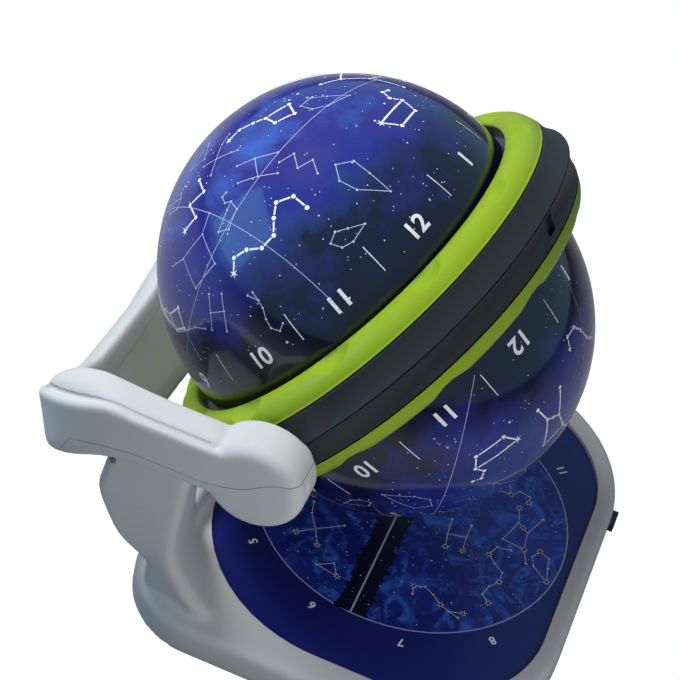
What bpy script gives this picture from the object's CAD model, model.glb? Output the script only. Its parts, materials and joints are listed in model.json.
import json
import math

import bmesh
import bpy
import numpy as np
from mathutils import Matrix, Vector


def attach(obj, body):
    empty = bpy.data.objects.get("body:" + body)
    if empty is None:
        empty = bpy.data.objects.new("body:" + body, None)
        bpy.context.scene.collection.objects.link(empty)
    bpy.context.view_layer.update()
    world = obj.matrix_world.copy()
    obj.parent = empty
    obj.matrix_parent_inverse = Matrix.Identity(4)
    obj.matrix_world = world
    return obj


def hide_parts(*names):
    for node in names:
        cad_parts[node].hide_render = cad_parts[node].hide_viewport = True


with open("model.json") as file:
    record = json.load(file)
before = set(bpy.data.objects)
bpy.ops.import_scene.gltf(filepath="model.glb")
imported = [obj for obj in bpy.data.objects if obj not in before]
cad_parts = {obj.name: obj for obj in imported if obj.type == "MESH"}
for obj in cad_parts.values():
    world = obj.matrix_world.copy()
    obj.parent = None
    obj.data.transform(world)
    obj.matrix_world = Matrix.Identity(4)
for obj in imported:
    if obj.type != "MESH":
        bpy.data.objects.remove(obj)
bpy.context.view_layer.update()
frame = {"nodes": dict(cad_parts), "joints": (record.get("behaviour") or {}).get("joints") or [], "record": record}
scene = bpy.context.scene
millimetre = 0.001


def note(text):
    print("scene:", text)


# The camera stands where the photograph was taken from: metres, millimetres of lens, degrees.
cameraPlan = {
    "lens": 111.0,
    "sensor": 36.0,
    "place": (-0.7233, -0.1028, 0.799),
    "target": (-0.0176, 0.0174, 0.1276),
    "roll": 15.19,
    "shift": (-0.0074, 0.001),
}
# One broad lamp over the rear gives the main light; the others lift the shaded sides.
lightPlan = {
    "worldColour": "#dfe5ee", "worldStrength": 0.09,
    "sheenColour": "#a4cfe8", "sheenStrength": 0.5,
    "lamps": {
        "overheadKey": {"place": (0.10, 0.70, 1.15), "aim": (0, 0.02, 0.12),
                        "size": (0.6, 0.45), "power": 19.0},
        "paddleCard": {"place": (-0.34, -0.24, 0.24), "aim": (-0.14, 0.01, 0.14),
                       "size": (0.1, 0.1), "power": 0.55},
        "frontFill": {"place": (0.1, -1.1, 0.6), "aim": (0, 0, 0.12),
                      "size": (0.6, 0.5), "power": 1.3},
        "leftRimCard": {"place": (-0.35, 0.80, 0.45), "aim": (0, 0.02, 0.2),
                        "size": (0.5, 0.5), "power": 1.5, "mirrored": True, "tint": "#7cc8f0"},
    },
}


# A hex sRGB colour as linear RGBA.
def linearColour(hexText):
    channels = [int(hexText[i:i + 2], 16) / 255 for i in (1, 3, 5)]
    curve = [c / 12.92 if c <= 0.04045 else ((c + 0.055) / 1.055) ** 2.4 for c in channels]
    return (*curve, 1.0)


# Adds an object with the given data to the scene.
def placed(name, data):
    piece = bpy.data.objects.new(name, data)
    scene.collection.objects.link(piece)
    return piece


def makeCamera(plan):
    camera = placed("photoCamera", bpy.data.cameras.new("photoCamera"))
    camera.data.lens = plan["lens"]
    camera.data.sensor_width = plan["sensor"]
    camera.data.shift_x, camera.data.shift_y = plan["shift"]
    camera.data.clip_start = 0.01
    sight = Vector(plan["target"]) - Vector(plan["place"])
    turn = sight.to_track_quat("-Z", "Y").to_matrix()
    roll = math.radians(plan["roll"])
    camera.matrix_world = (Matrix.Translation(plan["place"]) @ turn.to_4x4()
                           @ Matrix.Rotation(roll, 4, "Z"))
    scene.camera = camera


# Adds a shader node by the end of its type's name, sets its inputs and properties,
# and links what is given as (node, output).
def addNode(tree, kind, inputs=None, **settings):
    node = tree.nodes.new("ShaderNode" + kind)
    for key, value in settings.items():
        setattr(node, key, value)
    for key, value in (inputs or {}).items():
        if isinstance(value, tuple) and len(value) == 2 and isinstance(value[0], bpy.types.Node):
            tree.links.new(value[0].outputs[value[1]], node.inputs[key])
        else:
            node.inputs[key].default_value = value
    return node


# The world is dim to matt surfaces, a pale sky to glossy ones and white to the camera.
def makeLights(plan):
    world = bpy.data.worlds.new("studio")
    scene.world = world
    world.use_nodes = True
    tree = world.node_tree
    tree.nodes.clear()
    path = addNode(tree, "LightPath")
    dim, sheen = (addNode(tree, "Background", {"Color": linearColour(plan[kind + "Colour"]),
                                              "Strength": plan[kind + "Strength"]})
                  for kind in ("world", "sheen"))
    white = addNode(tree, "Background", {"Color": (1, 1, 1, 1), "Strength": 1.0})
    around = addNode(tree, "MixShader", {0: (path, "Is Glossy Ray"), 1: (dim, 0), 2: (sheen, 0)})
    pick = addNode(tree, "MixShader", {0: (path, "Is Camera Ray"), 1: (around, 0), 2: (white, 0)})
    addNode(tree, "OutputWorld", {"Surface": (pick, 0)})
    for name, lamp in plan["lamps"].items():
        data = bpy.data.lights.new(name, "AREA")
        data.shape = "RECTANGLE"
        data.size, data.size_y = lamp["size"]
        data.energy = lamp["power"]
        data.color = linearColour(lamp.get("tint", "#ffffff"))[:3]
        light = placed(name, data)
        light.location = lamp["place"]
        light.visible_glossy = lamp.get("mirrored", False)
        aim = Vector(lamp["aim"]) - Vector(lamp["place"])
        light.rotation_euler = aim.to_track_quat("-Z", "Y").to_euler()


scene.view_settings.view_transform = "Standard"
makeCamera(cameraPlan)
makeLights(lightPlan)
note("camera and lights")

# The ring's own frame: x along the tilt axis, z along the polar axis, y towards the low rear.
spinJoint = next(j for j in frame["joints"] if j["name"] == "north_dome_spin")
hub = np.array(spinJoint["pos_m"])
pivotMm = hub / millimetre
polar = np.array(spinJoint["axis"]) / np.linalg.norm(spinJoint["axis"])
tiltAxis = np.array([1.0, 0.0, 0.0])
lowRear = np.cross(polar, tiltAxis)


# Millimetres in the ring's frame to metres in the row frame; side -1 is the south side.
def ringPlace(x, y, z, side):
    x, y, z = np.broadcast_arrays(x, y, z)
    parts = x[..., None] * tiltAxis + side * y[..., None] * lowRear + side * z[..., None] * polar
    return hub + parts * millimetre


def newMesh(name, vertices, faces):
    mesh = bpy.data.meshes.new(name)
    mesh.from_pydata(np.asarray(vertices).tolist(), [], [list(f) for f in faces])
    mesh.update()
    return placed(name, mesh)


# Quads between the rows of a grid of points whose columns close a round; the rows may close too.
def gridFaces(rows, columns, closeRows):
    i, j = np.meshgrid(np.arange(rows if closeRows else rows - 1), np.arange(columns),
                       indexing="ij")
    i2, j2 = (i + 1) % rows, (j + 1) % columns
    quads = np.stack([i * columns + j, i * columns + j2, i2 * columns + j2, i2 * columns + j],
                     axis=-1)
    return quads.reshape(-1, 4).tolist()


# Faces of a tube of points, with one face over its first row and one over its last.
def cappedFaces(rows, columns):
    last = (rows - 1) * columns
    caps = [list(range(columns)), list(range(last, last + columns))]
    return gridFaces(rows, columns, False) + caps


# Merges doubles, points the faces outwards and marks edges sharper than the angle.
def tidyMesh(piece, sharpAngle=38.0, merge=1e-6, sliver=1e-7):
    work = bmesh.new()
    work.from_mesh(piece.data)
    bmesh.ops.remove_doubles(work, verts=work.verts, dist=merge)
    bmesh.ops.dissolve_degenerate(work, edges=work.edges, dist=sliver)
    bmesh.ops.recalc_face_normals(work, faces=work.faces)
    limit = math.radians(sharpAngle)
    for edge in work.edges:
        edge.smooth = len(edge.link_faces) == 2 and edge.calc_face_angle(0) < limit
    for face in work.faces:
        face.smooth = True
    work.to_mesh(piece.data)
    work.free()
    return piece


# Gives a piece its material, the body that it rides on and the solids that it stands for.
def dress(piece, material, body, nodes):
    piece.data.materials.clear()
    piece.data.materials.append(material)
    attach(piece, body)
    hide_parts(*nodes)


# A closed outline whose corners are rounded: each corner is (x, y, radius).
def roundedOutline(corners, perCorner):
    spots = np.array([c[:2] for c in corners], float)
    outline = []
    for k, (x, y, radius) in enumerate(corners):
        here = spots[k]
        back = spots[k - 1] - here
        ahead = spots[(k + 1) % len(spots)] - here
        back /= np.linalg.norm(back)
        ahead /= np.linalg.norm(ahead)
        half = math.acos(float(np.clip(back @ ahead, -1, 1))) / 2
        reach = radius / math.tan(half)
        start, end = here + back * reach, here + ahead * reach
        centre = here + (back + ahead) / np.linalg.norm(back + ahead) * radius / math.sin(half)
        t = np.linspace(0, 1, perCorner)[:, None]
        bow = (1 - t) * (start - centre) + t * (end - centre)
        bow *= radius / np.linalg.norm(bow, axis=1)[:, None]
        outline.append(centre + bow)
    return np.concatenate(outline)


# A closed profile turned about the polar axis: radii and heights have a column for each angle.
def revolved(name, radii, heights, angle, side):
    points = ringPlace(radii * np.cos(angle), radii * np.sin(angle), heights, side)
    return tidyMesh(newMesh(name, points.reshape(-1, 3), gridFaces(*radii.shape, True)))


# Makes the result of a piece's modifiers its own mesh.
def baked(piece):
    bpy.context.view_layer.update()
    shaped = piece.evaluated_get(bpy.context.evaluated_depsgraph_get())
    mesh = bpy.data.meshes.new_from_object(shaped)
    piece.modifiers.clear()
    piece.data = mesh
    return piece


def discard(*pieces):
    for piece in pieces:
        bpy.data.objects.remove(piece, do_unlink=True)


# A piece less the others, or what it shares with them; the others are used up.
def combined(piece, others, operation):
    for other in others:
        step = piece.modifiers.new("combine", "BOOLEAN")
        step.operation = operation
        step.object = other
        step.solver = "MANIFOLD"
    baked(piece)
    discard(*others)
    return piece


# Melts overlapping solids into one skin and softens the corners between them.
def melted(name, solids, voxelMm, rounds):
    bm = bmesh.new()
    for solid in solids:
        bm.from_mesh(solid.data)
    mesh = bpy.data.meshes.new(name)
    bm.to_mesh(mesh)
    bm.free()
    piece = placed(name, mesh)
    discard(*solids)
    skin = piece.modifiers.new("skin", "REMESH")
    skin.mode = "VOXEL"
    skin.voxel_size = voxelMm * millimetre
    soft = piece.modifiers.new("soft", "SMOOTH")
    soft.factor = 0.5
    soft.iterations = rounds
    return baked(piece)


# Smooth in-between rows of a table, passing through every row (Catmull-Rom).
def blended(table, perStep):
    table = np.asarray(table, float)
    padded = np.concatenate([table[:1] * 2 - table[1:2], table, table[-1:] * 2 - table[-2:-1]])
    t = np.linspace(0, 1, perStep, endpoint=False)[:, None]
    a, b, c, d = (padded[k:k + len(table) - 1, None] for k in range(4))
    curve = 0.5 * (2 * b + (c - a) * t + (2 * a - 5 * b + 4 * c - d) * t ** 2
                   + (3 * b - a - 3 * c + d) * t ** 3)
    return np.concatenate([curve.reshape(-1, table.shape[1]), table[-1:]])


# A closed solid through rings of points, capped at both ends; the points are world millimetres.
def lofted(name, rings):
    rings = np.asarray(rings)
    faces = cappedFaces(*rings.shape[:2])
    return tidyMesh(newMesh(name, rings.reshape(-1, 3) * millimetre, faces))


# An upright solid between two heights whose outline may be drawn in at the ends by a round.
def slab(name, corners, low, high, roundTop=0.0, roundLow=0.0, steps=6, leastRound=0.2):
    rows = []
    for height, radius, sign in ((low, roundLow, 1), (high, roundTop, -1)):
        turn = np.linspace(0, np.pi / 2, steps if radius else 1)
        inset = radius * (1 - np.sin(turn))
        lift = height + sign * radius * (1 - np.cos(turn))
        rows += list(zip(inset, lift))[::sign]
    rings = []
    centre = np.mean([c[:2] for c in corners], axis=0)
    for inset, height in rows:
        moved = [(x - np.sign(x - centre[0]) * inset, y - np.sign(y - centre[1]) * inset,
                  max(r - inset, leastRound)) for x, y, r in corners]
        outline = roundedOutline(moved, 16)
        rings.append(np.column_stack([outline, np.full(len(outline), height)]))
    return lofted(name, rings)


# Plan corners of a box that is grown by a margin all round; "rounds" are its front and rear ones.
def boxCorners(box, grow=0.0):
    middle = box.get("middle", 0.0)
    left, right = middle - box["half"] - grow, middle + box["half"] + grow
    front, rear = box["front"] - grow, box["rear"] + grow
    frontRound, rearRound = (r + grow for r in box["rounds"])
    return [(right, rear, rearRound), (left, rear, rearRound),
            (left, front, frontRound), (right, front, frontRound)]


# A solid of constant outline in y and z that reaches as far to the left as to the right.
def sidePrism(name, outline, reach):
    rings = [np.column_stack([np.full(len(outline), x), outline]) for x in (-reach, reach)]
    return lofted(name, rings)


# A copy of a piece on the other side of the middle plane.
def mirroredX(piece, name):
    mesh = piece.data.copy()
    mesh.transform(Matrix.Scale(-1, 4, (1, 0, 0)))
    mesh.flip_normals()
    return placed(name, mesh)


def newMaterial(name):
    material = bpy.data.materials.new(name)
    material.use_nodes = True
    material.node_tree.nodes.clear()
    return material, material.node_tree


def principled(tree, inputs):
    shader = addNode(tree, "BsdfPrincipled", inputs)
    addNode(tree, "OutputMaterial", {"Surface": (shader, 0)})


# Cloud noise in a piece's own space, from the size of its clouds in millimetres.
def cloudNoise(tree, sizeMm, detail, **more):
    place = addNode(tree, "TexCoord")
    inputs = {"Vector": (place, "Object"), "Scale": 1 / (sizeMm * millimetre), "Detail": detail}
    return addNode(tree, "TexNoise", {**inputs, **more})


def mixedColour(tree, share, low, high):
    return addNode(tree, "Mix", {0: share, 6: low, 7: linearColour(high)}, data_type="RGBA"), 2


plasticPlan = {"driftMm": 40, "bumpMm": 0.1, "roughnessPlay": 0.05, "coatRoughness": 0.12}


# Moulded plastic: a base colour with a little drift, and the fine grain of the tool's surface.
def mouldedPlastic(name, colour, drift, roughness, grainMm, grainHeight, coat=0.0):
    plan = plasticPlan
    play = plan["roughnessPlay"]
    material, tree = newMaterial(name)
    cloud = cloudNoise(tree, plan["driftMm"], 3.0)
    grain = cloudNoise(tree, grainMm, 2.0)
    bump = addNode(tree, "Bump", {"Height": (grain, "Fac"), "Strength": grainHeight,
                                  "Distance": plan["bumpMm"] * millimetre})
    rough = addNode(tree, "MapRange", {"Value": (grain, "Fac"), "To Min": roughness - play,
                                       "To Max": roughness + play})
    tone = mixedColour(tree, (cloud, "Fac"), linearColour(colour), drift)
    principled(tree, {"Base Color": tone, "Roughness": (rough, 0), "Normal": (bump, 0), "IOR": 1.5,
                      "Coat Weight": coat, "Coat Roughness": plan["coatRoughness"]})
    return material


# The printed skies: haze and tint are cloud noise, and dark clouds gather where "rim" is high.
skyPlans = {
    "domeSky": {"deep": "#1f2a86", "haze": "#3a6cc8", "tint": "#33257c", "dark": "#06061a",
                "hazeMm": 34, "hazeFrom": 0.50, "hazeTo": 0.74, "swirl": 0.0, "tintMm": 64.6,
                "roughness": 0.16, "coat": 0.6},
    "mapSky": {"deep": "#1a2478", "haze": "#3a70da", "tint": "#2436a0", "dark": "#0a0d33",
               "hazeMm": 17, "hazeFrom": 0.48, "hazeTo": 0.66, "swirl": 2.2, "tintMm": 32.3,
               "roughness": 0.35, "coat": 0.0},
}


# The coat is the clear styrene of the domes over their print; the map is a printed card.
def nightSky(name):
    plan = skyPlans[name]
    material, tree = newMaterial(name)
    haze = cloudNoise(tree, plan["hazeMm"], 6.0, Roughness=0.6, Distortion=plan["swirl"])
    tint = cloudNoise(tree, plan["tintMm"], 3.0)
    edge = addNode(tree, "Attribute", attribute_name="rim")
    dark = addNode(tree, "Math", {0: (haze, "Fac"), 1: (edge, "Fac")}, operation="ADD")
    blend = linearColour(plan["deep"])
    for cloud, low, high, most, colour in (
            ((tint, "Fac"), 0.45, 0.65, 0.8, "tint"),
            ((haze, "Fac"), plan["hazeFrom"], plan["hazeTo"], 0.85, "haze"),
            ((dark, 0), 1.08, 1.34, 0.95, "dark")):
        share = addNode(tree, "MapRange", {"Value": cloud, "From Min": low, "From Max": high,
                                           "To Max": most})
        blend = mixedColour(tree, (share, 0), blend, plan[colour])
    principled(tree, {"Base Color": blend, "Roughness": plan["roughness"], "IOR": 1.5,
                      "Coat Weight": plan["coat"], "Coat Roughness": 0.06})
    return material


# Screen ink that goes from faint to bright by the glow written into the mesh.
def starInk(name, faint, bright):
    material, tree = newMaterial(name)
    glow = addNode(tree, "Attribute", attribute_name="glow")
    tone = mixedColour(tree, (glow, "Fac"), linearColour(faint), bright)
    principled(tree, {"Base Color": tone, "Roughness": 0.3})
    return material


# ABS from a spark-eroded mould has an even, soft sheen.
greyAbs = mouldedPlastic("greyAbs", "#cbcccd", "#c4c6c8", 0.42, 0.5, 0.25)
blackAbs = mouldedPlastic("blackAbs", "#2b2b2f", "#26262a", 0.40, 0.5, 0.25)
# The rings come from a smoother mould, so that they shine a little.
limeAbs = mouldedPlastic("limeAbs", "#8fac24", "#89a620", 0.36, 0.8, 0.08)
domeSky = nightSky("domeSky")
mapSky = nightSky("mapSky")
# The inks dry to a satin: white on the domes, pale blue and lilac on the map.
skyInk = starInk("skyInk", "#4a66b4", "#f4f6ff")
mapInk = starInk("mapInk", "#2238a0", "#f4f8ff")
lilacInk = starInk("lilacInk", "#8f8fc8", "#c9c9ea")
# Printed card has hardly any grain.
mapBorder = mouldedPlastic("mapBorder", "#1d2474", "#181f64", 0.35, 0.5, 0.02)
nightInk = mouldedPlastic("nightInk", "#080a22", "#0a0d2a", 0.4, 0.5, 0.02)
note("materials")

# Stick figures of star groups in a layout of their own: points in millimetres, then chains of
# points that a line joins.
starGroups = {
    "hunter": ([(-8, 15), (6, 16), (-4, 2), (0, 0), (4, -2), (-7, -14), (9, -13), (-14, 24)],
               [(7, 0, 1, 4, 6), (0, 2, 3, 4), (2, 5)]),
    "throne": ([(-12, 4), (-6, -3), (0, 4), (6, -4), (12, 3)], [range(5)]),
    "dipper": ([(-20, 7), (-13, 8), (-6, 5), (0, 2), (2, -6), (12, -7), (13, 3)],
               [(0, 1, 2, 3, 4, 5, 6, 3)]),
    "swan": ([(0, 16), (0, 4), (-1, -14), (-12, 7), (12, 2), (20, -2)], [(0, 1, 2), (3, 1, 4, 5)]),
    "lion": ([(-14, 2), (-9, -6), (6, -5), (9, 3), (6, 8), (9, 13), (13, 12)],
             [range(7), (0, 3)]),
    "scorpion": ([(-16, 10), (-12, 13), (-7, 8), (-3, 3), (0, -5), (4, -11), (11, -12), (13, -6)],
                 [(0, 2, 3, 4, 5, 6, 7), (1, 2)]),
    "square": ([(-9, -8), (-8, 8), (9, 8), (8, -8), (17, 14), (-18, 12)],
               [(5, 1, 0, 3, 2, 4), (1, 2)]),
    "river": ([(-24, 6), (-18, 9), (-12, 5), (-8, -1), (-1, -3), (5, 1), (11, 4), (17, -1),
               (16, -9)], [range(9)]),
    "twins": ([(-6, 12), (-7, 0), (-9, -11), (5, 12), (5, 1), (4, -12)],
              [(0, 1, 2), (3, 4, 5), (1, 4)]),
    "kite": ([(0, -14), (-6, 0), (-5, 9), (2, 14), (7, 7), (4, -2)], [(0, 1, 2, 3, 4, 5, 0)]),
    "triangle": ([(-7, -2), (7, 3), (2, -7)], [(0, 1, 2, 0)]),
}

# Where the groups lie on a dome: angle from the pole, azimuth, turn, scale and whether drawn bold.
# Widths and sizes are in millimetres, angles in degrees; an arc is its axis and its spread.
domePlan = {
    "radius": 89.85, "wall": 2.0, "offset": 19.0, "skirt": 17.0, "flangeRadius": 96.8,
    "flangeLow": 15.0, "poleCap": 0.4, "rows": 110, "columns": 240, "proud": 0.08,
    "numberFirst": -178.6, "numberStep": 30.0, "numberAngle": 80.0, "numberHeight": 8.4,
    "firstNumber": 10,
    "tickAngle": 77.5, "tickLength": 14.0, "tickWidth": 0.45, "tickGlow": 0.9,
    "bold": {"bead": 1.05, "line": 0.85, "gap": 1.5, "glow": 1.0},
    "fine": {"bead": 0.55, "line": 0.35, "gap": 0.7, "glow": 0.55},
    "lineGlow": 0.9, "rayReach": 2.4, "rayCut": 0.72,
    "arcLow": 84.0, "arcGlow": 0.35, "arcPoints": 200,
    "starCount": 560, "starLow": 0.13, "starSize": 0.22, "starSpread": 0.5, "starPlay": 0.12,
    "starDraw": (0.35, 6), "starGlows": (0.25, 0.95),
    "southShift": 64.0,
    "groups": [
        ("river", 52, -152, 22, 1.05, True), ("throne", 30, -185, 70, 1.0, True),
        ("square", 47, -186, 20, 1.0, False), ("dipper", 22, -110, -30, 0.95, True),
        ("kite", 60, -118, 15, 0.95, False), ("lion", 57, -84, -12, 1.0, True),
        ("lion", 40, -164, 35, 0.62, False), ("hunter", 48, -57, -10, 1.0, True),
        ("twins", 33, -140, 60, 0.85, False), ("scorpion", 60, -30, 8, 1.0, True),
        ("swan", 40, -8, 30, 1.0, True), ("triangle", 12, -200, 50, 1.0, False),
        ("river", 58, 22, 0, 0.95, False), ("throne", 34, 40, -20, 1.0, True),
        ("square", 56, 62, 15, 1.0, True), ("lion", 32, 92, 40, 0.9, False),
        ("kite", 57, 104, -12, 1.0, True), ("dipper", 60, 146, 10, 0.95, True),
        ("twins", 40, 132, 0, 1.0, False), ("hunter", 15, 20, 0, 0.8, False),
        ("swan", 66, -204, 12, 0.8, False), ("kite", 36, -88, 35, 0.8, False),
        ("twins", 63, -184, -20, 0.7, False), ("throne", 43, -126, 110, 0.8, False),
        ("swan", 19, -158, 70, 0.7, False), ("scorpion", 70, -168, -40, 0.6, False),
        ("kite", 68, -134, 80, 0.6, False), ("lion", 27, -212, 10, 0.6, False),
    ],
    "arcs": [(40, 60, 75), (88, 150, 60)],
}


# Unit directions on a dome for drawing points (u east, v towards the pole, mm) about an anchor.
def domeRay(anchor, uv):
    radius = domePlan["radius"]
    theta, azimuth = np.radians(np.asarray(anchor, float))[..., None]
    u, v = np.moveaxis(np.asarray(uv, float), -1, 0)
    sinT, cosT, sinA, cosA = np.sin(theta), np.cos(theta), np.sin(azimuth), np.cos(azimuth)
    ray = np.stack([radius * sinT * cosA - u * sinA - v * cosT * cosA,
                    radius * sinT * sinA + u * cosA - v * cosT * sinA,
                    radius * cosT + v * sinT], axis=-1)
    return ray / np.linalg.norm(ray, axis=-1, keepdims=True)


# A drawing under way: points, faces and one glow value for each point.
def addMark(marks, points, faces, glow):
    base = sum(len(p) for p in marks["points"])
    marks["points"].append(np.asarray(points))
    marks["faces"] += [[base + i for i in face] for face in faces]
    marks["glow"].append(np.full(len(points), glow))


# A band of even width along unit directions, two points for each step.
def strip(path, width, radius):
    tangent = np.gradient(path, axis=0)
    side = np.cross(path, tangent)
    side *= width / 2 / radius / np.linalg.norm(side, axis=1, keepdims=True)
    points = np.concatenate([path + side, path - side])
    return points, bandFaces(len(path))


# Faces of a band whose first edge has all its points before those of its second edge.
def bandFaces(n):
    return [(i, i + 1, n + i + 1, n + i) for i in range(n - 1)]


def fullTurn(count):
    return np.linspace(0, 2 * np.pi, count, endpoint=False)


def onCircle(radius, angle):
    return np.column_stack([radius * np.cos(angle), radius * np.sin(angle)])


# A disc, or a star when every other corner is drawn in by a share.
def discOutline(radius, sides, spikes=0.0):
    reach = radius * np.where(np.arange(sides) % 2, 1 - spikes, 1.0)
    return onCircle(reach, fullTurn(sides))


# Flat points turned anticlockwise by an angle in radians.
def spun(points, spin):
    cosine, sine = math.cos(spin), math.sin(spin)
    return points @ np.array([[cosine, sine], [-sine, cosine]])


# A star group's points, scaled, turned and moved, and its lines as pairs of points.
def figure(group, turn, scale, shift=(0, 0)):
    points, chains = starGroups[group]
    spots = spun(np.array(points, float) * scale, math.radians(turn)) + shift
    return spots, [(spots[a], spots[b]) for chain in chains for a, b in zip(chain, chain[1:])]


# Points round a bead and round a fine star, and along a printed line; numbers on a dial.
beadSides, dotSides, linePoints, dialNumbers = 12, 6, 5, 12


# Beads at the stars and lines that stop short of them; a bold group's first star has rays.
def drawGroup(marks, group, anchor, turn, scale, plan, bold):
    pen = plan["bold" if bold else "fine"]
    spots, lines = figure(group, turn, scale)
    for k, spot in enumerate(spots):
        if bold and k == 0:
            outline = discOutline(pen["bead"] * plan["rayReach"], beadSides, plan["rayCut"])
        else:
            outline = discOutline(pen["bead"], beadSides)
        addMark(marks, domeRay(anchor, outline + spot), [range(beadSides)], pen["glow"])
    for start, end in lines:
        gap = pen["gap"] / np.linalg.norm(end - start)
        share = np.linspace(gap, 1 - gap, linePoints)[:, None]
        path = domeRay(anchor, start + (end - start) * share)
        addMark(marks, *strip(path, pen["line"], plan["radius"]), pen["glow"] * plan["lineGlow"])


# Shares of a number's height: its font size, the swelling of its strokes, the longest uncut edge.
numberPlan = {"size": 1.38, "swell": 0.032, "longest": 0.25, "cuts": 3, "merge": 1e-5}


# A number's filled outline on the flat, centred, as points and faces.
def numberOutline(text, height):
    plan = numberPlan
    curve = bpy.data.curves.new("number", "FONT")
    curve.body = text
    curve.size = height * plan["size"]
    curve.offset = height * plan["swell"]
    curve.align_x = "CENTER"
    curve.align_y = "CENTER"
    curve.resolution_u = 6
    holder = placed("number", curve)
    bpy.context.view_layer.update()
    shaped = holder.evaluated_get(bpy.context.evaluated_depsgraph_get())
    mesh = bpy.data.meshes.new_from_object(shaped)
    discard(holder)
    work = bmesh.new()
    work.from_mesh(mesh)
    bmesh.ops.remove_doubles(work, verts=work.verts, dist=plan["merge"])
    bmesh.ops.triangulate(work, faces=work.faces)
    long = [e for e in work.edges if e.calc_length() > height * plan["longest"]]
    bmesh.ops.subdivide_edges(work, edges=long, cuts=plan["cuts"])
    bmesh.ops.triangulate(work, faces=work.faces)
    points = [(v.co.x, v.co.y) for v in work.verts]
    faces = [[v.index for v in f.verts] for f in work.faces]
    work.free()
    return np.array(points), faces


# Writes one value for each point of a mesh, which a material reads by its name.
def storeValues(piece, name, values):
    stored = piece.data.attributes.new(name, "FLOAT", "POINT")
    stored.data.foreach_set("value", values)


# Outer and inner sphere, which has a third of the rows, joined by the skirt and its flange. The
# rim value rises towards the skirt.
def buildDome(name, side, plan):
    radius, offset, columns = plan["radius"], plan["offset"], plan["columns"]
    thin = radius - plan["wall"]
    theta = np.radians(np.linspace(plan["poleCap"], 90, plan["rows"]))
    outer = np.column_stack([radius * np.sin(theta), offset + radius * np.cos(theta)])
    foot = np.array([(radius, plan["skirt"]), (plan["flangeRadius"], plan["skirt"]),
                     (plan["flangeRadius"], plan["flangeLow"]), (thin, plan["flangeLow"])])
    inner = np.column_stack([thin * np.sin(theta), offset + thin * np.cos(theta)])[::-3]
    profile = np.concatenate([outer, foot, inner])
    angle = fullTurn(columns)
    r, z = profile[:, :1], profile[:, 1:]
    points = ringPlace(r * np.cos(angle), r * np.sin(angle), z, side)
    piece = newMesh(name, points.reshape(-1, 3), cappedFaces(len(profile), columns))
    rim = np.concatenate([theta / theta[-1], np.ones(len(foot) + len(inner))])
    storeValues(piece, "rim", np.repeat(rim, columns))
    return tidyMesh(piece)


# The hour numbers round the skirt, with a tick half way between one and the next.
def drawScale(marks, side, plan):
    for k in range(dialNumbers):
        text = str((plan["firstNumber"] - 1 + k) % dialNumbers + 1)
        points, faces = numberOutline(text, plan["numberHeight"])
        azimuth = side * (plan["numberFirst"] + k * plan["numberStep"])
        addMark(marks, domeRay((plan["numberAngle"], azimuth), points), faces, 1.0)
        along = np.linspace(-0.5, 0.5, linePoints)[:, None] * plan["tickLength"]
        anchor = (plan["tickAngle"], azimuth + side * plan["numberStep"] / 2)
        path = domeRay(anchor, along * np.array([[0.0, 1.0]]))
        addMark(marks, *strip(path, plan["tickWidth"], plan["radius"]), plan["tickGlow"])


# Parts of small circles above the skirt. Each circle is its tilted axis times the cosine of its
# spread, plus the spread's sine times a circle square to the axis.
def drawArcs(marks, plan):
    low = math.cos(math.radians(plan["arcLow"]))
    for tilt, azimuth, spread in plan["arcs"]:
        axis = domeRay((tilt, azimuth), (0, 0))
        east = np.cross([0, 0, 1], axis)
        east /= np.linalg.norm(east)
        turn = np.linspace(0, 2 * np.pi, plan["arcPoints"])[:, None]
        circle = np.cos(turn) * east + np.sin(turn) * np.cross(axis, east)
        path = math.cos(math.radians(spread)) * axis + math.sin(math.radians(spread)) * circle
        runs = np.split(path, np.flatnonzero(np.diff((path[:, 2] > low).astype(int))) + 1)
        for run in runs:
            if len(run) > 3 and run[:, 2].min() > low:
                points, faces = strip(run, plan["fine"]["line"], plan["radius"])
                addMark(marks, points, faces, plan["arcGlow"])


# Fine stars strewn evenly over the dome, most of them small.
def drawFineStars(marks, plan, seed):
    draw = np.random.default_rng(seed)
    count = plan["starCount"]
    theta = np.degrees(np.arccos(draw.uniform(plan["starLow"], 1.0, count)))
    azimuth = draw.uniform(-180, 180, count)
    power, exponent = plan["starDraw"]
    size = (plan["starSize"] + plan["starSpread"] * draw.power(power, count) ** exponent
            + draw.uniform(0, plan["starPlay"], count))
    glows = draw.uniform(*plan["starGlows"], count)
    outline = discOutline(1.0, dotSides)
    for angle, turn, reach, glow in zip(theta, azimuth, size, glows):
        addMark(marks, domeRay((angle, turn), outline * reach), [range(dotSides)], glow)


# Everything printed on a dome is one skin of ink that lies a hair above it.
def buildDomeInk(name, side, plan, seed):
    marks = {"points": [], "faces": [], "glow": []}
    for group, theta, azimuth, turn, scale, bold in plan["groups"]:
        anchor = (theta, azimuth if side > 0 else plan["southShift"] - azimuth)
        drawGroup(marks, group, anchor, turn, scale, plan, bold)
    drawScale(marks, side, plan)
    drawArcs(marks, plan)
    drawFineStars(marks, plan, seed)
    rays = np.concatenate(marks["points"]) * (plan["radius"] + plan["proud"])
    vertices = ringPlace(rays[:, 0], rays[:, 1], rays[:, 2] + plan["offset"], side)
    piece = newMesh(name, vertices, marks["faces"])
    storeValues(piece, "glow", np.concatenate(marks["glow"]))
    piece.data.materials.append(skyInk)
    return piece


for sideName, side, seed in (("north", 1, 11), ("south", -1, 23)):
    dome = buildDome(sideName + "Dome", side, domePlan)
    dress(dome, domeSky, sideName + "_star_dome", [sideName + "_dome"])
    ink = buildDomeInk(sideName + "DomeInk", side, domePlan, seed)
    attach(ink, sideName + "_star_dome")
note("domes")

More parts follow.
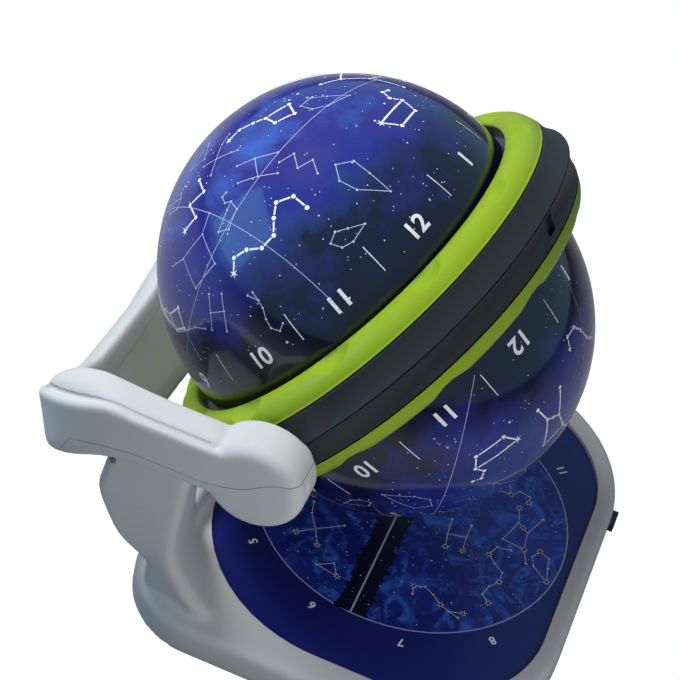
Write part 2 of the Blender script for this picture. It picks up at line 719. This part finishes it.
# Finger rings: a crowned lime ring with a rounded lip and shallow scoops for the fingertips.
ringPlan = {
    "inner": 93.7, "seat": 96.9, "outer": 109.0, "wallFoot": 17.0, "lipTop": 21.7, "lipRound": 1.6,
    "under": 12.9, "edgeTop": 13.6, "edgeCut": 0.5, "crown": 10.5, "columns": 720,
    "scoops": 12, "scoopPhase": -8.8, "scoopRadius": 100.5, "scoopLong": 10.0, "scoopWide": 6.6,
    "scoopDeep": 3.6, "scoopSlope": 30.0, "scoopPower": 0.9,
}


# Points on an arc of the given radius between two points, bulging to the left of the way.
def arcThrough(start, end, radius, count):
    start, end = np.array(start, float), np.array(end, float)
    chord = end - start
    half = np.linalg.norm(chord) / 2
    left = np.array([-chord[1], chord[0]]) / (2 * half)
    centre = (start + end) / 2 - left * math.sqrt(radius ** 2 - half ** 2)
    first, last = (math.atan2(*(p - centre)[::-1]) for p in (start, end))
    angle = np.linspace(first, last, count)
    return centre + onCircle(radius, angle)


# A scoop's depth follows a power of one minus the squared distance from its centre.
def buildFingerRing(name, side, plan):
    lip, inner, outer = plan["lipRound"], plan["inner"], plan["outer"]
    turn = np.linspace(np.pi, np.pi / 2, 8)
    lipArc = (inner + lip, plan["lipTop"] - lip) + onCircle(lip, turn)
    crown = arcThrough(lipArc[-1], (outer - plan["edgeCut"], plan["edgeTop"]), plan["crown"], 34)[1:]
    foot = np.array([(outer, plan["edgeTop"] - plan["edgeCut"]), (outer, plan["under"]),
                     (plan["seat"], plan["under"]), (plan["seat"], plan["wallFoot"]),
                     (inner, plan["wallFoot"])])
    profile = np.concatenate([lipArc, crown, foot])
    angle = fullTurn(plan["columns"])
    r, z = profile[:, :1] + 0 * angle, profile[:, 1:] + 0 * angle
    step = 2 * np.pi / plan["scoops"]
    off = (angle - math.radians(plan["scoopPhase"]) + step / 2) % step - step / 2
    slope = math.radians(plan["scoopSlope"])
    across = (r - plan["scoopRadius"]) / math.cos(slope)
    bowl = np.clip(1 - (off * r / plan["scoopLong"]) ** 2 - (across / plan["scoopWide"]) ** 2, 0, 1)
    bowl[len(lipArc) + len(crown):] = 0
    drop = plan["scoopDeep"] * bowl ** plan["scoopPower"]
    return revolved(name, r - drop * math.sin(slope), z - drop * math.cos(slope), angle, side)


for sideName, side in (("north", 1), ("south", -1)):
    fingerRing = buildFingerRing(sideName + "FingerRing", side, ringPlan)
    dress(fingerRing, limeAbs, sideName + "_star_dome", [sideName + "_finger_ring"])
note("finger rings")

# The two halves of the equator band, with the seam groove between them and a notch in the lower one.
bandPlan = {
    "radius": 113.9, "edge": 109.4, "rimEdge": 109.55, "high": 12.3, "bulge": 19.0, "wall": 2.4,
    "inner": 93.2, "round": 0.9, "seam": 0.6, "columns": 360,
    "notchAngle": 97.3, "notchWide": 7.0, "notchHigh": 8.5, "notchDeep": 5.0, "notchHair": 1e-4,
}


# A bulging rim with a round to the flat top; two columns a hair apart make each notch side.
def buildBandHalf(name, side, plan, notched):
    r, radius, high, wall = plan["round"], plan["radius"], plan["high"], plan["wall"]
    rim = arcThrough((radius, plan["seam"]), (plan["rimEdge"], high - r), plan["bulge"], 24)
    turn = np.linspace(0, np.pi / 2, 6)[1:]
    corner = rim[-1] - (r, 0) + onCircle(r, turn)
    web = high - wall
    inside = np.array([(plan["inner"], high), (plan["inner"], web), (plan["edge"] - wall, web),
                       (radius - wall, 0.0), (radius - plan["seam"], 0.0)])
    profile = np.concatenate([rim, corner, inside])
    angle = fullTurn(plan["columns"])
    half = plan["notchWide"] / 2 / radius
    middle = math.radians(plan["notchAngle"])
    if notched:
        edges = [middle + a * half + b * plan["notchHair"] for a in (-1, 1) for b in (-1, 1)]
        angle = np.sort(np.concatenate([angle, edges]))
    radii, heights = profile[:, :1] + 0 * angle, profile[:, 1:] + 0 * angle
    if notched:
        rows = (np.arange(len(profile)) > 0) & (np.arange(len(profile)) < len(rim))
        inNotch = (rows[:, None] & (abs(angle - middle) < half)
                   & (heights < plan["notchHigh"]))
        radii = np.where(inNotch, radii - plan["notchDeep"], radii)
    return revolved(name, radii, heights, angle, side)


for name, side, notched in (("bandUpper", 1, False), ("bandLower", -1, True)):
    node = "band_upper_half" if side > 0 else "band_lower_half"
    dress(buildBandHalf(name, side, bandPlan, notched), blackAbs, "tilt_ring", [node])
note("band")

# The fork, from the pivot: inner top edge of each station, heading of its outer side in degrees,
# bank, width, height, how far the outer shoulder lies below the edge, and how strong the groove is.
forkPlan = {
    "stations": [
        (-118, 14, 8.5, 0, 0, 19.0, 28.0, 0.8, 1.0),
        (-118, 22, 8.5, 0, 0, 19.5, 27.0, 0.8, 1.0),
        (-118, 32, 8.5, 0, 0, 20.0, 26.0, 0.8, 1.0),
        (-118, 47, 8.5, 0, 0, 20.5, 26.0, 0.5, 1.0),
        (-118, 63, 9.0, 0, 0, 21.0, 27.0, 0.5, 1.0),
        (-117, 76, 8.8, 5, 0, 21.5, 32.0, 0.5, 1.0),
        (-114.8, 86, 6.8, 18, 1, 21.5, 40.0, 6.0, 1.0),
        (-111.5, 94.5, 1.5, 34, 5, 21.0, 44.0, 8.5, 0.8),
        (-106, 101.5, -7.0, 52, 12, 20.5, 45.0, 8.5, 0.4),
        (-95, 106.3, -20.5, 74, 24, 19.8, 46.0, 7.5, 0.1),
        (-76, 108.5, -36.5, 87, 33, 19.5, 46.0, 6.0, 0.0),
        (-52, 109, -47.5, 90, 37, 19.8, 46.0, 5.0, 0.0),
        (0, 108.6, -53.8, 90, 38.7, 20.0, 46.4, 5.0, 0.0),
    ],
    "perStep": 8,
    "groove": {"first": 15, "last": 66, "share": 0.76, "fall": 0.8, "sink": 0.4, "radius": 1.6},
    "grip": {"count": 4, "outer": -148, "long": 20, "y": 73, "z": -26.0, "pitch": 6.4, "fall": 3.6,
             "radius": 3.0},
    "paddleCut": {"x": -128.0, "reach": 23.0, "from": -75, "to": 22, "radius": 2.2,
                  "nose": (-128.5, -16.5, 6.0), "noseDeep": 3.2, "noseRadius": 1.6},
    "paddle": {"inner": -116.2, "outer": -137.5, "middle": 8.0, "drop": -6.0, "radius": 22.8,
               "round": 6.0, "core": 0.5, "edge": 1.0},
    "parting": [(-40, 9), (-15, 6), (-3, 3.5), (3, 0), (11, -6.5), (20, -10), (31, -11.6), (46, -11),
                (62, -10.6), (77, -13.6), (92, -21), (97, -34), (100, -47), (103, -60), (112, -69),
                (124, -77), (150, -96)],
    "partingGap": 0.35, "ceiling": 220.0, "sideReach": 160.0,
    "voxel": 0.95, "smooth": 5, "sharp": 50.0,
}
legPlan = {
    # Height, then the left leg's plan corners: outer front, inner front, inner rear, outer rear.
    "levels": [
        (6, -121, 8, -60, 62, -60, 72, -104, 62),
        (14, -122, 14, -61, 61.5, -60, 72, -108, 64),
        (20, -121.5, 20, -62, 61, -62, 71.5, -110, 65),
        (28, -121.5, 31, -64, 60, -64, 70.5, -112, 65.5),
        (42, -122.5, 43, -68, 58, -70, 69.5, -115, 66),
        (58, -124.5, 49.5, -82, 54, -86, 78, -121, 79),
        (74, -127, 50, -94, 51.5, -95, 85, -125.5, 85),
        (92, -129.5, 49, -102, 50, -102, 90.4, -129.5, 89.5),
        (108, -132, 48, -111, 48.5, -111, 88, -132, 88),
        (122, -133.4, 47, -119.4, 47, -119.4, 86, -133.4, 86),
        (132, -134.4, 48, -120.4, 48, -120.4, 85, -134.4, 85),
    ],
    "footLevels": (0, 9), "neckLevels": (6, 11),
    "round": 5.0, "joint": 92.0, "jointGap": 0.04,
    # The space cleared under the joint, on each side.
    "clear": {"middle": 118.0, "half": 23.0, "front": 40.0, "rear": 94.0, "rounds": (1.0, 1.0),
              "low": 40.0},
}


# One outline of the arm in shares of its width and in millimetres down from the inner top edge.
def forkSection(wide, tall, drop, groove):
    return np.array([
        (0.0, tall * 0.5), (0.0, 6.0), (0.03 * wide, 1.2), (0.12 * wide, 0.0),
        (0.38 * wide, 0.1 * drop), (0.58 * wide, 0.35 * drop),
        (0.68 * wide, 0.6 * drop + 0.5 * groove),
        (0.76 * wide, 0.8 * drop + 2.2 * groove), (0.85 * wide, 0.95 * drop + 0.2 * groove),
        (0.93 * wide, drop), (0.99 * wide, drop + 2.0), (1.0 * wide, drop + 6),
        (1.0 * wide, tall * 0.75), (0.97 * wide, tall - 3), (0.86 * wide, tall),
        (0.14 * wide, tall), (0.02 * wide, tall - 3),
    ])


# The arm and half of the bow as one loft: width runs outwards and height down, turned by the bank.
def forkArm(name, plan):
    rows = blended(plan["stations"], plan["perStep"])
    rings = []
    for x, y, z, heading, bank, wide, tall, drop, groove in rows:
        across, down = stationAxes(heading, bank)
        section = forkSection(wide, tall, drop, groove)
        section = blended(np.concatenate([section, section[:1]]), 3)[:-1]
        rings.append(np.array([x, y, z]) + section[:, :1] * across + section[:, 1:] * down)
    return lofted(name, np.array(rings) + pivotMm)


# A round rod bent along a path, world millimetres.
def rod(name, path, radius, segments=16):
    path = np.asarray(path, float)
    tangent = np.gradient(path, axis=0)
    tangent /= np.linalg.norm(tangent, axis=1, keepdims=True)
    level = abs(tangent[:, 2]).max() < 0.95
    side = np.cross(tangent, [0.0, 0.0, 1.0] if level else [1.0, 0.0, 0.0])
    side /= np.linalg.norm(side, axis=1, keepdims=True)
    up = np.cross(side, tangent)
    angle = fullTurn(segments)[:, None]
    ring = np.cos(angle) * side[:, None] + np.sin(angle) * up[:, None]
    return lofted(name, path[:, None] + radius * ring)


# Axes of a station: outwards across its width and down its height, turned by heading and bank.
def stationAxes(heading, bank):
    turn, lean = math.radians(heading), math.radians(bank)
    outward = np.array([-math.cos(turn), math.sin(turn), 0.0])
    up = np.array([0.0, 0.0, 1.0])
    return (math.cos(lean) * outward - math.sin(lean) * up,
            -math.sin(lean) * outward - math.cos(lean) * up)


# The moulded groove that runs along the arm between its top and the bead of its outer edge.
def armGroove(name, plan):
    cut = plan["groove"]
    rows = blended(plan["stations"], plan["perStep"])[cut["first"]:cut["last"]]
    path = []
    for x, y, z, heading, bank, wide, tall, drop, groove in rows:
        across, down = stationAxes(heading, bank)
        sink = cut["fall"] * drop + cut["sink"]
        path.append(np.array([x, y, z]) + cut["share"] * wide * across + sink * down)
    return rod(name, np.array(path) + pivotMm, cut["radius"])


# A shallow channel round the front of the paddle's rim and the notch where the seam meets it.
def paddleCuts(name, plan):
    cut = plan["paddleCut"]
    middle, drop = plan["paddle"]["middle"], plan["paddle"]["drop"]
    turn = np.radians(np.linspace(cut["from"], cut["to"], 30))
    path = np.column_stack([np.full(len(turn), cut["x"]), middle - cut["reach"] * np.cos(turn),
                            drop + cut["reach"] * np.sin(turn)])
    channel = rod(name + "Channel", path + pivotMm, cut["radius"])
    start = pivotMm + cut["nose"]
    nose = [start, start + (0, cut["noseDeep"], 0)]
    return [channel, rod(name + "Notch", nose, cut["noseRadius"], 24)]


# Finger grips pressed into the lower outer edge of the arm, at an even pitch.
def gripCuts(name, plan):
    grip = plan["grip"]
    cuts = []
    for k in range(grip["count"]):
        start = pivotMm + (grip["outer"], grip["y"] + k * grip["pitch"], grip["z"] - k * grip["fall"])
        ends = [start, start + (grip["long"], 0, 0)]
        cuts.append(rod("%s%d" % (name, k), ends, grip["radius"], 24))
    return cuts


# The round end of the arm over the pivot, with a soft outer edge.
def paddleDisc(name, plan):
    r, soft, inner, outer = plan["radius"], plan["round"], plan["inner"], plan["outer"]
    turn = np.linspace(0, np.pi / 2, 9)
    edge = (outer + soft, r - soft) + onCircle(soft, turn + np.pi / 2)
    back = [(inner, plan["core"]), (inner, r - plan["edge"]), (inner - plan["edge"], r)]
    profile = np.concatenate([back, edge, [(outer, plan["core"])]])
    angle = fullTurn(96)
    rings = [np.column_stack([np.full(len(angle), x), plan["middle"] + q * np.cos(angle),
                              plan["drop"] + q * np.sin(angle)]) for x, q in profile]
    return lofted(name, np.array(rings) + pivotMm)


# Part of the leg, from one level of its plan to another.
def legLoft(name, plan, first, last):
    rings = []
    for height, *plot in blended(plan["levels"][first:last], 6):
        corners = [(x, y, plan["round"]) for x, y in np.reshape(plot, (4, 2))]
        outline = roundedOutline(corners, 8)
        rings.append(np.column_stack([outline, np.full(len(outline), height)]))
    return lofted(name, rings)


# Everything of a piece that lies beyond a level plane is taken off and the cut is filled.
def trimmed(piece, heightMm, keepAbove):
    work = bmesh.new()
    work.from_mesh(piece.data)
    geometry = list(work.verts) + list(work.edges) + list(work.faces)
    cut = bmesh.ops.bisect_plane(work, geom=geometry, plane_co=(0, 0, heightMm * millimetre),
                                 plane_no=(0, 0, 1), clear_outer=not keepAbove, clear_inner=keepAbove)
    border = [e for e in cut["geom_cut"] if isinstance(e, bmesh.types.BMEdge)]
    bmesh.ops.holes_fill(work, edges=border)
    work.to_mesh(piece.data)
    work.free()


# Arms, paddles and necks are melted into one skin, which is cut and parted into two shells.
def buildFork(plan, legs):
    left = [forkArm("armLeft", plan), paddleDisc("paddleLeft", plan["paddle"]),
            legLoft("neckLeft", legs, *legs["neckLevels"])]
    arms = left + [mirroredX(piece, piece.name + "Twin") for piece in left]
    fork = melted("fork", arms, plan["voxel"], plan["smooth"])
    clear = legs["clear"]
    under = [slab("underNeck", boxCorners({**clear, "middle": side * clear["middle"]}),
                  clear["low"], legs["joint"] + legs["jointGap"]) for side in (-1, 1)]
    cuts = ([armGroove("grooveLeft", plan)] + paddleCuts("paddleLeft", plan)
            + gripCuts("gripLeft", plan))
    twins = [mirroredX(piece, piece.name + "Twin") for piece in cuts]
    fork = combined(fork, under + cuts + twins, "DIFFERENCE")
    seam = np.array(plan["parting"], float) + pivotMm[1:]
    for name, node, sign, end in (("forkLower", "fork_lower_shell", -1, 0.0),
                                  ("forkUpper", "fork_upper_shell", 1, plan["ceiling"])):
        line = seam + (0, sign * plan["partingGap"] / 2)
        outline = np.concatenate([line, [(line[-1, 0], end), (line[0, 0], end)]])
        room = sidePrism(name + "Room", outline, plan["sideReach"])
        shell = combined(placed(name, fork.data.copy()), [room], "INTERSECT")
        dress(tidyMesh(shell, plan["sharp"]), greyAbs, "base", [node])
    discard(fork)


buildFork(forkPlan, legPlan)
note("fork")

# The base: a round-cornered slab with a rear hump, legs that sweep up from it, the map's recess
# and the pocket of the cover. The door's opening runs out through the cover's rear edge.
basePlan = {
    "half": 127.0, "front": -131.0, "rear": 76.0, "rounds": (78.0, 42.0),
    "low": 2.0, "high": 20.0, "edge": 5.0, "lowEdge": 0.8,
    "hump": {"half": 96.0, "front": 57.5, "rear": 75.6, "rounds": (6.0, 9.0),
             "high": 36.0, "round": 6.0},
    "recess": {"half": 111.0, "front": -121.0, "rear": 55.7, "rounds": (64.0, 79.0),
               "low": 16.8, "high": 60.0},
    "cover": {"half": 124.4, "front": -128.2, "rear": 67.3, "rounds": (75.4, 38.0),
              "low": 2.0, "high": 4.0, "play": 0.3},
    "door": {"half": 87.4, "front": 44.1, "rear": 76.0, "rounds": (0.6, 0.6),
             "high": 9.0, "play": 0.4},
    "voxel": 1.5, "smooth": 7, "sharp": 45.0,
}


def buildBase(plan, legs):
    hump, recess, cover, door = plan["hump"], plan["recess"], plan["cover"], plan["door"]
    body = slab("slabBody", boxCorners(plan), plan["low"], plan["high"], plan["edge"],
                plan["lowEdge"])
    rise = slab("humpBody", boxCorners(hump), plan["low"], hump["high"], hump["round"])
    leg = legLoft("legLeft", legs, *legs["footLevels"])
    solids = [body, rise, leg, mirroredX(leg, "legTwin")]
    shell = melted("baseShell", solids, plan["voxel"], plan["smooth"])
    trimmed(shell, legs["joint"] - legs["jointGap"], False)
    trimmed(shell, plan["low"], True)
    well = slab("mapWell", boxCorners(recess), recess["low"], recess["high"])
    pocket = slab("coverPocket", boxCorners(cover, cover["play"]), 0, cover["high"] + cover["play"])
    shell = combined(shell, [well, pocket], "DIFFERENCE")
    dress(tidyMesh(shell, plan["sharp"]), greyAbs, "base", ["base_shell"])
    bottom = slab("baseCover", boxCorners(cover), cover["low"], cover["high"])
    hatch = slab("doorHatch", boxCorners(door, door["play"]), 0, door["high"])
    bottom = combined(bottom, [hatch], "DIFFERENCE")
    dress(tidyMesh(bottom, plan["sharp"]), greyAbs, "base", ["base_cover"])


buildBase(basePlan, legPlan)
note("base")

# The star map is printed on the panel in the recess: a sky disc with a horizon band, star
# figures and a numbered rim. Its inks lie above each other in thin layers.
mapPlan = {
    "top": 18.0, "thick": 1.2, "play": 0.3, "layer": 0.04,
    "centre": (4.0, -34.8), "radius": 81.0, "ringWidth": 0.7, "ringGlow": 0.3, "ringPoints": 241,
    "bandMiddle": 5.0, "bandHalf": 8.0, "bandPoints": 181, "bandSeed": 8, "bandLine": 0.9,
    "bandGlow": 0.6, "ragged": 1.8, "treePlay": 0.6,
    "numberHeight": 4.6, "numberReach": 89.0, "numberFirst": 15.0, "numberStep": 30.0,
    "numberField": {"half": 104.0, "front": -112.0, "rear": 48.0},
    "beadRadius": 1.0, "fineBead": 0.6, "rayEvery": 3, "rayReach": 2.3, "rayCut": 0.75,
    "lineWidth": 0.32, "lineGlow": 0.75, "stars": 260, "starSeed": 5,
    "starField": 0.97, "starSizes": (0.15, 0.42), "starGlows": (0.3, 0.9),
    "groups": [
        ("river", -20, -52, 20, 0.9), ("swan", -38, 36, 40, 0.85), ("lion", 40, -38, 200, 1.0),
        ("hunter", 14, -56, 80, 0.85), ("kite", 56, 30, 30, 0.9), ("dipper", 0, 44, 10, 0.95),
        ("scorpion", -54, -30, 120, 0.8), ("throne", 30, -18, 250, 0.9), ("square", 34, 52, 45, 0.8),
        ("twins", -8, -26, 100, 0.8), ("triangle", 62, -24, 0, 0.9), ("triangle", -62, 24, 60, 0.8),
        ("kite", -6, -72, 300, 0.7), ("lion", -30, 60, 150, 0.7),
    ],
}


# A band of even width along a flat path, two points for each step.
def flatStrip(path, width):
    tangent = np.gradient(path, axis=0)
    reach = width / 2 / np.linalg.norm(tangent, axis=1, keepdims=True)
    side = tangent[:, ::-1] * (-1, 1) * reach
    return np.concatenate([path + side, path - side]), bandFaces(len(path))


# One printed shape of the map, on a layer counted up from the panel; points from the map's centre.
def flatPiece(name, points, faces, layer, material, glow=None):
    height = mapPlan["top"] + layer * mapPlan["layer"]
    middle = np.array(mapPlan["centre"])
    vertices = np.column_stack([points + middle, np.full(len(points), height)]) * millimetre
    piece = newMesh(name, vertices, faces)
    if glow is not None:
        storeValues(piece, "glow", glow * np.ones(len(points)))
    piece.data.materials.append(material)
    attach(piece, "base")


# The horizon band is a strip across the disc whose two edges wander like a line of trees.
def drawHorizon(plan):
    draw = np.random.default_rng(plan["bandSeed"])
    count = plan["bandPoints"]
    across = np.linspace(-1, 1, count) * np.sqrt(plan["radius"] ** 2 - plan["bandHalf"] ** 2)
    edges = []
    for sign in (1, -1):
        trees = np.convolve(draw.uniform(-1, 1, count + 2), [0.25, 0.5, 0.25], "valid")
        trees = trees + draw.uniform(-plan["treePlay"], plan["treePlay"], count)
        level = plan["bandMiddle"] + sign * plan["bandHalf"]
        edges.append(np.column_stack([across, level + plan["ragged"] * trees]))
    flatPiece("mapHorizon", np.concatenate(edges), bandFaces(count), 2, nightInk)
    middle = np.column_stack([across, np.full(count, plan["bandMiddle"])])
    flatPiece("mapHorizonLine", *flatStrip(middle, plan["bandLine"]), 3, lilacInk,
              plan["bandGlow"])


# Star figures of the map, with beads and rays, and fine stars strewn between them.
def drawMapStars(marks, plan):
    for group, x, y, turn, scale in plan["groups"]:
        spots, lines = figure(group, turn, scale, (x, y))
        for k, spot in enumerate(spots):
            rays = k % plan["rayEvery"] == 0
            size = plan["beadRadius"] if rays else plan["fineBead"]
            addMark(marks, discOutline(size, beadSides) + spot, [range(beadSides)], 1.0)
            if rays:
                outline = discOutline(size * plan["rayReach"], beadSides, plan["rayCut"])
                addMark(marks, outline + spot, [range(beadSides)], 1.0)
        for start, end in lines:
            path = start + (end - start) * np.linspace(0, 1, 3)[:, None]
            addMark(marks, *flatStrip(path, plan["lineWidth"]), plan["lineGlow"])
    draw = np.random.default_rng(plan["starSeed"])
    count = plan["stars"]
    turn = draw.uniform(0, 2 * np.pi, count)
    reach = plan["radius"] * draw.uniform(0, plan["starField"], count) ** 0.5
    sizes = draw.uniform(*plan["starSizes"], count)
    glows = draw.uniform(*plan["starGlows"], count)
    for spot, size, glow in zip(onCircle(reach, turn), sizes, glows):
        addMark(marks, discOutline(size, dotSides) + spot, [range(dotSides)], glow)


# The numbers round the map's rim stand square to it, where the panel has room for them.
def drawMapNumbers(marks, plan):
    field = plan["numberField"]
    for k in range(dialNumbers):
        turn = math.radians(plan["numberFirst"] + plan["numberStep"] * k)
        spot = plan["numberReach"] * np.array([math.cos(turn), math.sin(turn)])
        x, y = spot + plan["centre"]
        if abs(x) < field["half"] and field["front"] < y < field["rear"]:
            points, faces = numberOutline(str(k + 1), plan["numberHeight"])
            addMark(marks, spun(points, turn - math.pi / 2) + spot, faces, 1.0)


def buildMap(plan):
    panel = slab("mapPanel", boxCorners(basePlan["recess"], -plan["play"]),
                 plan["top"] - plan["thick"], plan["top"])
    dress(panel, mapBorder, "base", ["map_panel"])
    circle = onCircle(plan["radius"], np.linspace(0, 2 * np.pi, plan["ringPoints"]))
    flatPiece("mapDisc", circle[:-1], [range(len(circle) - 1)], 1, mapSky)
    flatPiece("mapRing", *flatStrip(circle, plan["ringWidth"]), 2, lilacInk, plan["ringGlow"])
    drawHorizon(plan)
    marks = {"points": [], "faces": [], "glow": []}
    drawMapStars(marks, plan)
    drawMapNumbers(marks, plan)
    flatPiece("mapInk", np.concatenate(marks["points"]), marks["faces"], 3, mapInk,
              np.concatenate(marks["glow"]))


buildMap(mapPlan)
note("map")


metalPlan = {"smoother": 0.08, "rougher": 0.1, "bump": 0.15, "bumpMm": 0.05}


# Bare metal whose fine marks roughen it unevenly.
def bareMetal(name, colour, roughness, grainMm):
    material, tree = newMaterial(name)
    grain = cloudNoise(tree, grainMm, 4.0)
    rough = addNode(tree, "MapRange", {"Value": (grain, "Fac"),
                                       "To Min": roughness - metalPlan["smoother"],
                                       "To Max": roughness + metalPlan["rougher"]})
    bump = addNode(tree, "Bump", {"Height": (grain, "Fac"), "Strength": metalPlan["bump"],
                                  "Distance": metalPlan["bumpMm"] * millimetre})
    principled(tree, {"Base Color": linearColour(colour), "Metallic": 1.0,
                      "Roughness": (rough, 0), "Normal": (bump, 0)})
    return material


# The other solids keep their own shape and take a finish by what they are made of.
finishOf = {
    "grey_plastic": greyAbs, "black_plastic": blackAbs, "green_plastic": limeAbs,
    "printed_panel": mapBorder, "dome_plastic": domeSky,
    "zinc_steel": bareMetal("zincSteel", "#b8bcc0", 0.35, 0.3),
    "turned_steel": bareMetal("turnedSteel", "#a8a9aa", 0.28, 0.2),
    "contact_steel": bareMetal("nickelSpring", "#c4c2ba", 0.3, 0.4),
    "bush_plastic": mouldedPlastic("acetal", "#e6e4de", "#dedcd6", 0.3, 0.6, 0.05),
    "board": mouldedPlastic("glassEpoxy", "#1c5a34", "#184e2c", 0.45, 0.9, 0.1),
    "lens": mouldedPlastic("clearEpoxy", "#dfe6ea", "#d6dee4", 0.08, 1.0, 0.02, 0.5),
    "cell_jacket": mouldedPlastic("cellJacket", "#3a3d42", "#34373c", 0.3, 1.0, 0.03, 0.4),
    "foot_rubber": mouldedPlastic("footRubber", "#1c1c1e", "#19191b", 0.8, 0.4, 0.4),
}
slotOf = {s["node"]: s["material_slot"] for s in frame["record"]["subparts"]}
for nodeName, node in frame["nodes"].items():
    node.data.materials.clear()
    node.data.materials.append(finishOf[slotOf[nodeName]])
note("finishes of the other solids")


# The card under the object: white to the camera, a grey reflector to everything else.
def whiteCard(name, grey):
    material, tree = newMaterial(name)
    path = addNode(tree, "LightPath")
    matt = addNode(tree, "BsdfDiffuse", {"Color": linearColour(grey)})
    white = addNode(tree, "Emission", {"Color": (1, 1, 1, 1), "Strength": 1.0})
    pick = addNode(tree, "MixShader", {0: (path, "Is Camera Ray"), 1: (matt, 0), 2: (white, 0)})
    addNode(tree, "OutputMaterial", {"Surface": (pick, 0)})
    return material


cardHalf = 3.0
cardCorners = [(x * cardHalf, y * cardHalf, 0) for x, y in ((-1, -1), (1, -1), (1, 1), (-1, 1))]
floor = newMesh("floorCard", cardCorners, [(0, 1, 2, 3)])
floor.data.materials.append(whiteCard("floorCard", "#8c8f94"))
